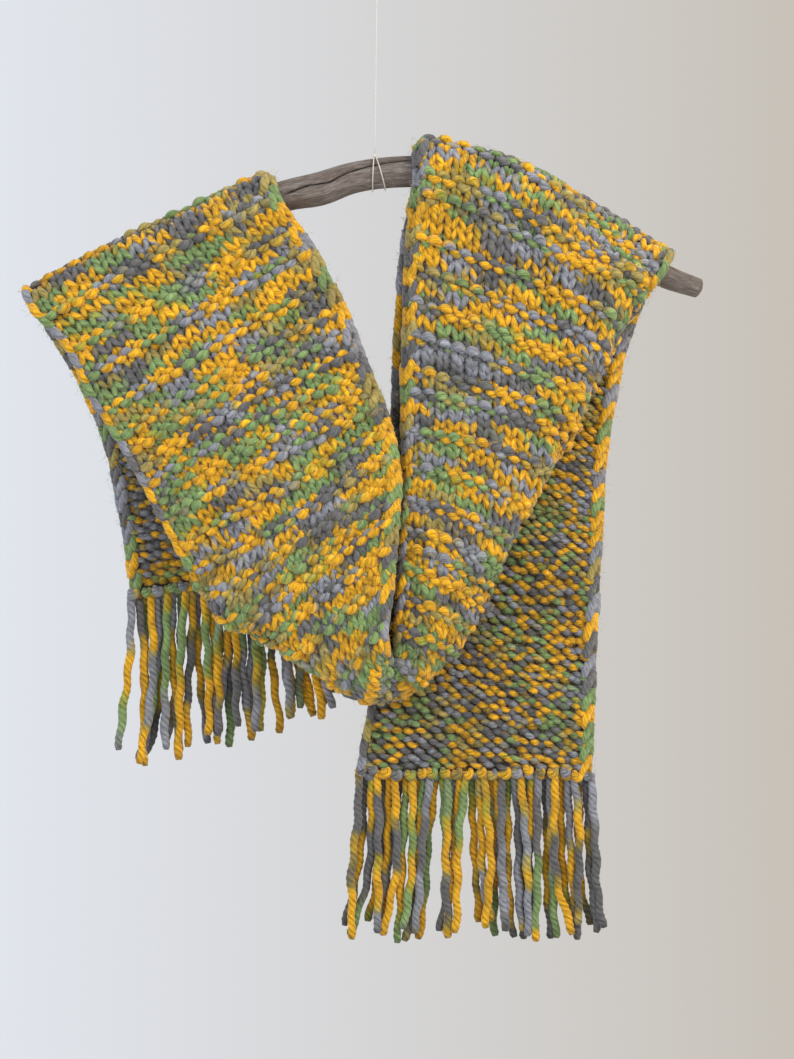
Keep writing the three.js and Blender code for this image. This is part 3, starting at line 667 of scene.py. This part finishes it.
# Rings close together where the wood shows, between the shoulders and at the right end.
stickS = np.concatenate([
    np.linspace(wood["start"], stickDistance(276), 40, endpoint=False),
    np.linspace(stickDistance(276), stickDistance(420), 140, endpoint=False),
    np.linspace(stickDistance(420), stickDistance(645), 30, endpoint=False),
    np.linspace(stickDistance(645), stickKnots[-1] - 1 * mm, 60),
])
turn = 2 * np.pi * np.arange(wood["sides"]) / wood["sides"] + 0 * stickS[:, None]  # from the front over the top
centre, along, up, radius = stickFrame(stickS)
side = stickS[:, None]
wander = 0.5 * np.sin(side / 0.031) + 0.35 * np.sin(side / 0.017 + 1)
flute = 0.5 + 0.5 * np.cos(3 * turn + side / 0.07 + wander)
grain = 0
for furrows, pace in ((7, 0.05), (11, 0.033), (17, 0.024), (23, 0.019)):
    ridge = 1 - np.abs(np.sin(0.5 * (furrows * turn + side / pace) + wander * (1 + 0.2 * furrows)))
    grain = grain + ridge ** 4 / 4
# The long drying crack on the front: how far up it lies, in degrees from the front, at
# distances along the drawing.
crackAcross = np.array([276, 292, 311, 331, 345, 365, 410, 440])
crackUp = np.array([-4, 2, 15, 4, 15, 27, 45, 60])
crackAngle = np.radians(np.interp(side, stickDistance(crackAcross), crackUp))
crackAway = ((turn - crackAngle + np.pi) % (2 * np.pi) - np.pi) * radius[:, None]
crackFrom = smoothStep(side, stickDistance(280), stickDistance(292))
crackTo = 1 - smoothStep(side, stickDistance(400), stickDistance(425))
crackDeep = np.exp(-((np.abs(crackAway) - 0.4 * mm) / wood["crackWidth"]).clip(0) ** 2) * crackFrom * crackTo
inward = radius[:, None] * (wood["flute"] * flute + wood["grain"] * grain) + wood["crack"] * crackDeep
endRound = np.minimum((stickS - stickS[0]) / (4 * mm), (stickS[-1] - stickS) / (3 * mm)).clip(0.01, 1) ** 0.4
stickRadius = (radius[:, None] - inward) * endRound[:, None]
stick = makeTubes("driftwood_stick", centre[None], stickRadius[None], np.broadcast_to([0, 0, 1.0], (1, len(stickS), 3)), sides=wood["sides"])
# Red: painted shade, lower the nearer the grain furrows and the crack; green: distance across the crack, 0.5 on it;
# blue: where it runs.
crackNear = np.abs(crackAway) < 0.8 * wood["crackReach"]
crackPlace = np.clip(0.5 + crackAway / (2 * wood["crackReach"]), 0, 1)
woodShadeAndCrack = np.stack([(1 - 0.55 * grain - 0.5 * crackDeep).clip(0, 1), crackPlace, crackNear * crackFrom * crackTo], -1)
addColour(stick, "grooves", woodShadeAndCrack)

thread = {"radius": 0.45 * mm, "knotAcross": 377, "knotRadius": 1.7 * mm, "clear": 0.5 * mm, "loop": 4 * mm, "spread": 6 * mm}
tieAt = stickDistance(thread["knotAcross"])
knotCentre, _, knotUp, knotStick = stickFrame(np.array([tieAt]))
knotCentre = (knotCentre + knotUp * (knotStick + thread["clear"] + thread["knotRadius"])[:, None])[0]
a = 2 * np.pi * np.arange(40) / 40
ties, tieOut = [], []
for spread in (-thread["spread"], thread["spread"]):
    under, _, rise, girth = stickFrame(tieAt + spread * (0.56 - 0.44 * np.sin(a)))
    radial = rise * np.sin(a)[:, None] + np.array([0, 1, 0]) * np.cos(a)[:, None]
    ties.append(under + radial * (girth + thread["clear"] + 0.5 * mm)[:, None])
    tieOut.append(radial)
tie = makeTubes("thread_tie_turns", np.array(ties), np.full((2, 40), thread["radius"]), np.array(tieOut), hoop=True)
bead = np.linspace(-0.98, 0.98, 15)
beadLine = knotCentre + np.array([0, 0, 1.0]) * (bead * thread["knotRadius"])[:, None]
beadRadii = thread["knotRadius"] * np.sqrt(1 - bead ** 2)
knot = makeTubes("thread_knot", beadLine[None], beadRadii[None], np.broadcast_to([0, 1.0, 0], (1, 15, 3)), sides=14)
eye = thread["loop"] * np.stack([np.cos(a), 0 * a, np.sin(a)], -1)
loop = makeTubes("thread_loop", eye[None], np.full((1, 40), thread["radius"]), eye[None], hoop=True)

# The thread itself: one straight line, pulled taut from the knot up to its loop.
threadFoot = np.array([knotCentre[0], 0, knotCentre[2] + thread["knotRadius"] + 0.3 * mm])
threadTop = np.array([0, 0, -thread["loop"]])
threadPath = threadFoot + (threadTop - threadFoot) * np.linspace(0, 1, 24)[:, None]
threadLine = makeTubes("hanging_thread_line", threadPath[None], np.full((1, 24), thread["radius"]), np.broadcast_to([0, 1.0, 0], (1, 24, 3)), sides=12)

print("stage: materials")


def addNode(tree, kind, inputs, **settings):
    # A shader node with its options set and each input given a value or another node's output.
    made = tree.nodes.new("ShaderNode" + kind)
    for option, value in settings.items():
        setattr(made, option, value)
    for socket, value in inputs.items():
        if isinstance(value, bpy.types.NodeSocket):
            tree.links.new(value, made.inputs[socket])
        else:
            made.inputs[socket].default_value = value
    return made


def sums(tree, operation, a, b=0.0):
    return addNode(tree, "Math", {0: a, 1: b}, operation=operation).outputs[0]


def mixColour(tree, share, a, b):
    made = addNode(tree, "Mix", {0: share, 6: a, 7: b}, data_type="RGBA")
    return made.outputs[2]


def newGroup(name, inputs, outputs):
    # Node group with named sockets; gives the tree, its inputs and its output node.
    tree = bpy.data.node_groups.new(name, "ShaderNodeTree")
    for label, kind in inputs.items():
        tree.interface.new_socket(label, in_out="INPUT", socket_type="NodeSocket" + kind)
    for label, kind in outputs.items():
        tree.interface.new_socket(label, in_out="OUTPUT", socket_type="NodeSocket" + kind)
    return tree, tree.nodes.new("NodeGroupInput").outputs, tree.nodes.new("NodeGroupOutput").inputs


def makeWoolGroup():
    # Wool yarn: dyed colour with painted shade between its plies, mottled by its fibres.
    # The plies run round the yarn once in "Twist" metres and "Plies" of them lie side by side.
    tree, given, put = newGroup(
        "woolYarn",
        {"Dye": "Color", "Second dye": "Color", "Around": "Float", "Along": "Float", "Twist": "Float", "Plies": "Float", "Painted groove shade": "Float"},
        {"Colour": "Color", "Height": "Float"},
    )
    turned = sums(tree, "ADD", given["Around"], sums(tree, "DIVIDE", given["Along"], given["Twist"]))
    ply = sums(tree, "ABSOLUTE", sums(tree, "SINE", sums(tree, "MULTIPLY", sums(tree, "MULTIPLY", turned, given["Plies"]), math.pi)))
    fullPly = sums(tree, "POWER", ply, 0.6)
    full = sums(tree, "MULTIPLY", turned, 2 * math.pi)
    fibreAt = addNode(tree, "CombineXYZ", {
        0: sums(tree, "MULTIPLY", sums(tree, "COSINE", full), 2.6),
        1: sums(tree, "MULTIPLY", sums(tree, "SINE", full), 2.6),
        2: sums(tree, "MULTIPLY", given["Along"], 130.0),
    }).outputs[0]
    fibre = addNode(tree, "TexNoise", {"Vector": fibreAt, "Scale": 1.6, "Detail": 4.0, "Roughness": 0.65}).outputs["Fac"]
    spot = addNode(tree, "TexCoord", {}).outputs["Object"]
    fluff = addNode(tree, "TexNoise", {"Vector": spot, "Scale": 420.0, "Detail": 3.0}).outputs["Fac"]
    heather = addNode(tree, "TexNoise", {"Vector": spot, "Scale": 95.0, "Detail": 3.0}).outputs["Fac"]
    heather = addNode(tree, "MapRange", {0: heather, 1: 0.32, 2: 0.68, 3: 0.8, 4: 1.12}).outputs[0]
    strand = addNode(tree, "MapRange", {0: fibre, 1: 0.36, 2: 0.64, 3: 0.0, 4: 0.85}).outputs[0]
    half = addNode(tree, "MapRange", {0: sums(tree, "SINE", full), 1: -0.5, 2: 0.5}).outputs[0]
    dye = mixColour(tree, half, given["Dye"], given["Second dye"])
    mottle = sums(tree, "ADD", strand, sums(tree, "MULTIPLY", fluff, 0.35))
    # Painted shade in the grooves between the plies.
    grooveShade = sums(tree, "MULTIPLY", sums(tree, "SUBTRACT", fullPly, 1.0), given["Painted groove shade"])
    shade = sums(tree, "MULTIPLY", sums(tree, "ADD", sums(tree, "ADD", mottle, 0.42), grooveShade), heather)
    tint = addNode(tree, "CombineColor", {0: shade, 1: shade, 2: shade}).outputs[0]
    tree.links.new(addNode(tree, "Mix", {0: 1.0, 6: dye, 7: tint}, data_type="RGBA", blend_type="MULTIPLY").outputs[2], put["Colour"])
    height = sums(tree, "ADD", sums(tree, "MULTIPLY", fullPly, 0.6), sums(tree, "ADD", sums(tree, "MULTIPLY", fibre, 0.5), sums(tree, "MULTIPLY", fluff, 0.35)))
    tree.links.new(height, put["Height"])
    return tree


woolGroup = makeWoolGroup()


def newMaterial(name, **sockets):
    material = bpy.data.materials.new(name)
    material.use_nodes = True
    shader = material.node_tree.nodes["Principled BSDF"]
    for label, value in sockets.items():
        shader.inputs[label.replace("_", " ")].default_value = value
    return material, material.node_tree, shader


def makeWool(name, twist, plies, grooveShade):
    material, tree, shader = newMaterial(name, Roughness=0.92, Sheen_Weight=0.3, Sheen_Roughness=0.55, Specular_IOR_Level=0.15)
    where = addNode(tree, "SeparateXYZ", {0: addNode(tree, "UVMap", {}, uv_map="yarnMap").outputs[0]}).outputs
    yarn = tree.nodes.new("ShaderNodeGroup")
    yarn.node_tree = woolGroup
    # The dye attributes hold the dyes with their painted shade: in the creases of the knit and in the fringe's layers
    # behind.
    for label, attribute in (("Dye", "dye"), ("Second dye", "secondDye")):
        tree.links.new(addNode(tree, "Attribute", {}, attribute_name=attribute).outputs["Color"], yarn.inputs[label])
    tree.links.new(where[0], yarn.inputs["Around"])
    tree.links.new(where[1], yarn.inputs["Along"])
    yarn.inputs["Twist"].default_value = twist
    yarn.inputs["Plies"].default_value = plies
    yarn.inputs["Painted groove shade"].default_value = grooveShade
    tree.links.new(yarn.outputs["Colour"], shader.inputs["Base Color"])
    bump = addNode(tree, "Bump", {"Strength": 0.9, "Distance": 0.9 * mm, "Height": yarn.outputs["Height"]})
    tree.links.new(bump.outputs[0], shader.inputs["Normal"])
    return material


def makeShadeSheet():
    # Painted shade behind the loops: dark olive grey, mottled.
    material, tree, shader = newMaterial("paintedShadeBehindLoops", Roughness=1.0, Specular_IOR_Level=0.05)
    spot = addNode(tree, "TexCoord", {}).outputs["Object"]
    patches = addNode(tree, "TexNoise", {"Vector": spot, "Scale": 45.0, "Detail": 4.0}).outputs["Fac"]
    tree.links.new(mixColour(tree, patches, (0.035, 0.033, 0.033, 1), (0.12, 0.09, 0.035, 1)), shader.inputs["Base Color"])
    return material


def makeDriftwood():
    # Weathered wood: grey and brown streaks along the grain, with painted shade in the grooves and a painted shadow
    # along the crack.
    material, tree, shader = newMaterial("driftwood", Roughness=0.82, Specular_IOR_Level=0.25)
    where = addNode(tree, "SeparateXYZ", {0: addNode(tree, "UVMap", {}, uv_map="yarnMap").outputs[0]}).outputs
    full = sums(tree, "MULTIPLY", where[0], 2 * math.pi)
    grainAt = addNode(tree, "CombineXYZ", {
        0: sums(tree, "COSINE", full), 1: sums(tree, "SINE", full), 2: sums(tree, "MULTIPLY", where[1], 7.0),
    }).outputs[0]
    broad = addNode(tree, "TexNoise", {"Vector": grainAt, "Scale": 2.2, "Detail": 5.0, "Roughness": 0.6}).outputs["Fac"]
    fine = addNode(tree, "TexNoise", {"Vector": grainAt, "Scale": 16.0, "Detail": 7.0, "Roughness": 0.75, "Distortion": 0.3}).outputs["Fac"]
    fineDark = addNode(tree, "MapRange", {0: fine, 1: 0.36, 2: 0.58}).outputs[0]
    broadShare = addNode(tree, "MapRange", {0: broad, 1: 0.3, 2: 0.7}).outputs[0]
    shadeAndCrack = addNode(tree, "SeparateColor", {0: addNode(tree, "Attribute", {}, attribute_name="grooves").outputs["Color"]}).outputs
    crossing = sums(tree, "ABSOLUTE", sums(tree, "SUBTRACT", shadeAndCrack[1], 0.5))
    crossing = sums(tree, "ADD", crossing, sums(tree, "MULTIPLY", sums(tree, "SUBTRACT", fine, 0.5), 0.16))
    # Painted shadow: a near-black line where the crack runs.
    crackShadeLine = addNode(tree, "MapRange", {0: crossing, 1: 0.03, 2: 0.07, 3: 1.0, 4: 0.0}).outputs[0]
    clearOfCrackShade = sums(tree, "SUBTRACT", 1.0, sums(tree, "MULTIPLY", crackShadeLine, shadeAndCrack[2]))
    grooveShade = shadeAndCrack[0]
    timber = mixColour(tree, broadShare, (0.27, 0.205, 0.17, 1), (0.52, 0.475, 0.44, 1))
    timber = mixColour(tree, fineDark, (0.16, 0.12, 0.1, 1), timber)
    # Painted shade in the grain furrows and the crack.
    timber = mixColour(tree, grooveShade, (0.05, 0.035, 0.03, 1), timber)
    tree.links.new(mixColour(tree, clearOfCrackShade, (0.02, 0.014, 0.012, 1), timber), shader.inputs["Base Color"])
    height = sums(tree, "ADD", fineDark, sums(tree, "MULTIPLY", grooveShade, sums(tree, "MULTIPLY", clearOfCrackShade, 1.2)))
    bump = addNode(tree, "Bump", {"Strength": 0.85, "Distance": 0.9 * mm, "Height": height})
    tree.links.new(bump.outputs[0], shader.inputs["Normal"])
    return material


def makeThread():
    material, tree, shader = newMaterial("whiteThread", Roughness=0.7, Sheen_Weight=0.2)
    spot = addNode(tree, "TexCoord", {}).outputs["Object"]
    fluff = addNode(tree, "TexNoise", {"Vector": spot, "Scale": 900.0}).outputs["Fac"]
    tree.links.new(mixColour(tree, fluff, (0.62, 0.57, 0.47, 1), (0.9, 0.87, 0.8, 1)), shader.inputs["Base Color"])
    return material


# The last number of each wool is the strength of the painted shade between the plies.
yarnWool = makeWool("handSpunWool", -26 * mm, 3.0, 0.36)
plyWool = makeWool("fringeWool", fringe["plies"]["twist"], float(fringe["plies"]["count"]), 0.55)
driftwood, whiteThread = makeDriftwood(), makeThread()
for piece in yarnPieces + [fuzzPiece]:
    piece.data.materials.append(yarnWool)
for piece in fringePieces:
    piece.data.materials.append(plyWool)
shadeSheet.data.materials.append(makeShadeSheet())
stick.data.materials.append(driftwood)
threadPieces = [threadLine, knot, tie, loop]
for piece in threadPieces:
    piece.data.materials.append(whiteThread)

for piece, node in zip(yarnPieces, ["left_tail", "left_shoulder", "left_front", "loop_bottom", "right_front", "right_shoulder", "right_tail", "right_tail"]):
    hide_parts(node)
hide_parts("left_fringe")
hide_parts("right_fringe")
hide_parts("stick")
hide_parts("thread_tie")
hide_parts("hanging_thread")

print("stage: studio")
view = {"rows": 1059, "floor": -1.36}
camera = bpy.data.objects.new("camera", bpy.data.cameras.new("camera"))
bpy.context.scene.collection.objects.link(camera)
camera.location = (middleX, -drawing["eye"], middleZ)
camera.rotation_euler = (math.pi / 2, 0, 0)
camera.data.sensor_fit = "VERTICAL"
camera.data.sensor_height = 36
camera.data.lens = 36 * drawing["eye"] / (drawing["unit"] * view["rows"])
bpy.context.scene.camera = camera

floorRings, floorSides = 12, 64
ringRadius = np.linspace(0.001, 1.15, floorRings)[:, None]
floorTurn = 2 * np.pi * np.arange(floorSides) / floorSides
floorPoints = np.stack([ringRadius * np.cos(floorTurn), ringRadius * np.sin(floorTurn), view["floor"] + 0 * ringRadius + 0 * floorTurn], -1)
i, j = np.meshgrid(np.arange(floorRings - 1), np.arange(floorSides), indexing="ij")
floorFaces = np.stack([i * floorSides + j, (i + 1) * floorSides + j, (i + 1) * floorSides + (j + 1) % floorSides, i * floorSides + (j + 1) % floorSides], -1)
floor = makeObject("studio_floor", floorPoints, floorFaces)
floorMaterial, floorTree, floorShader = newMaterial("paleFloor", Roughness=0.7, Base_Color=(0.8, 0.79, 0.77, 1))
floor.data.materials.append(floorMaterial)

bpy.context.scene.view_settings.view_transform = "Standard"
world = bpy.data.worlds.new("softStudio")
bpy.context.scene.world = world
world.use_nodes = True
tree = world.node_tree
direction = addNode(tree, "SeparateXYZ", {0: addNode(tree, "TexCoord", {}).outputs["Generated"]}).outputs
share = addNode(tree, "MapRange", {0: direction[0], 1: -0.17, 2: 0.17, 3: 0.0, 4: 1.0}).outputs[0]
sky = mixColour(tree, share, (0.755, 0.785, 0.84, 1), (0.575, 0.535, 0.48, 1))
tree.links.new(sky, tree.nodes["Background"].inputs["Color"])
tree.nodes["Background"].inputs["Strength"].default_value = 1.0


def addLamp(name, standing, size, power, colour):
    # A square soft light that faces the middle of the cloth.
    lamp = bpy.data.lights.new(name, "AREA")
    lamp.size, lamp.energy, lamp.color = size, power, colour
    obj = bpy.data.objects.new(name, lamp)
    bpy.context.scene.collection.objects.link(obj)
    obj.location = standing
    towards = np.array([0, 0, -0.45]) - np.array(standing)
    level = math.hypot(towards[0], towards[1])
    obj.rotation_euler = (math.atan2(level, -towards[2]), 0, math.atan2(towards[1], towards[0]) - math.pi / 2)


addLamp("window_light", (1.5, -1.3, 0.9), 0.9, 34, (1, 0.98, 0.95))
addLamp("fill_light", (-1.6, -1.6, 0.0), 1.6, 7, (0.9, 0.95, 1))

bpy.context.view_layer.update()
